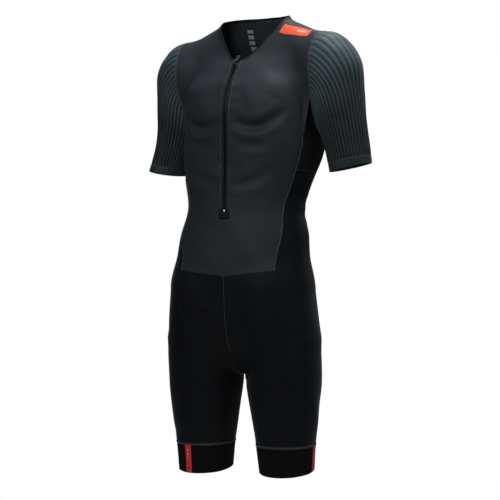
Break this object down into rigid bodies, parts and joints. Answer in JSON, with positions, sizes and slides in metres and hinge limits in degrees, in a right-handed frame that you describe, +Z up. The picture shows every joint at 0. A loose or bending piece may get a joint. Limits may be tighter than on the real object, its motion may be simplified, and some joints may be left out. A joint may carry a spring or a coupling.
{
  "type": "triathlon suit",
  "caption": "Short-sleeved, short-legged zip-front triathlon suit in dark stretch cloth, filled out as worn, hollow, with ribbed sleeves and leg grippers.",
  "frame": {"origin": "the middle of the shoulder line, where the wearer's shoulders hold the suit", "axes": "+Z up, -Y out of the front, +X to the wearer's left; millimetre solids, metre record"},
  "size_m": [0.519, 0.2553, 0.955],
  "materials": {
    "front_jersey": "satin",
    "mesh_jersey": "matte mesh",
    "leg_lycra": "soft sheen",
    "pelvic_lycra": "soft sheen",
    "sleeve_fabric": "ribbed, soft sheen",
    "gripper_band": "matte",
    "neck_binding": "matte",
    "zip_tape": "matte",
    "zip_coil": "satin",
    "zip_garage": "matte",
    "dark_metal": "satin",
    "pull_tab": "matte",
    "shoulder_label": "matte",
    "leg_tab": "matte"
  },
  "bodies": {
    "suit": {"back_panel": "front_jersey", "front_panel": "front_jersey", "leg_gripper_left": "gripper_band", "leg_gripper_right": "gripper_band", "leg_left": "leg_lycra", "leg_right": "leg_lycra", "leg_tab_left": "leg_tab", "leg_tab_right": "leg_tab", "neck_binding": "neck_binding", "pelvic_left": "pelvic_lycra", "pelvic_right": "pelvic_lycra", "shoulder_label": "shoulder_label", "side_insert_left": "mesh_jersey", "side_insert_right": "mesh_jersey", "sleeve_left": "sleeve_fabric", "sleeve_right": "sleeve_fabric", "zip_coil": "zip_coil", "zip_end_dot": "dark_metal", "zip_garage": "zip_garage", "zip_slider": "dark_metal", "zip_tape_left": "zip_tape", "zip_tape_right": "zip_tape"},
    "zip_pull": {"zip_pull_tab": "pull_tab"}
  },
  "joints": [
    {"name": "pull_tab_turn", "type": "hinge", "parent": "suit", "child": "zip_pull", "pos_m": [0, -0.08055, -0.09339], "axis": [1, 0, 0], "range_deg": [0, 205]}
  ]
}
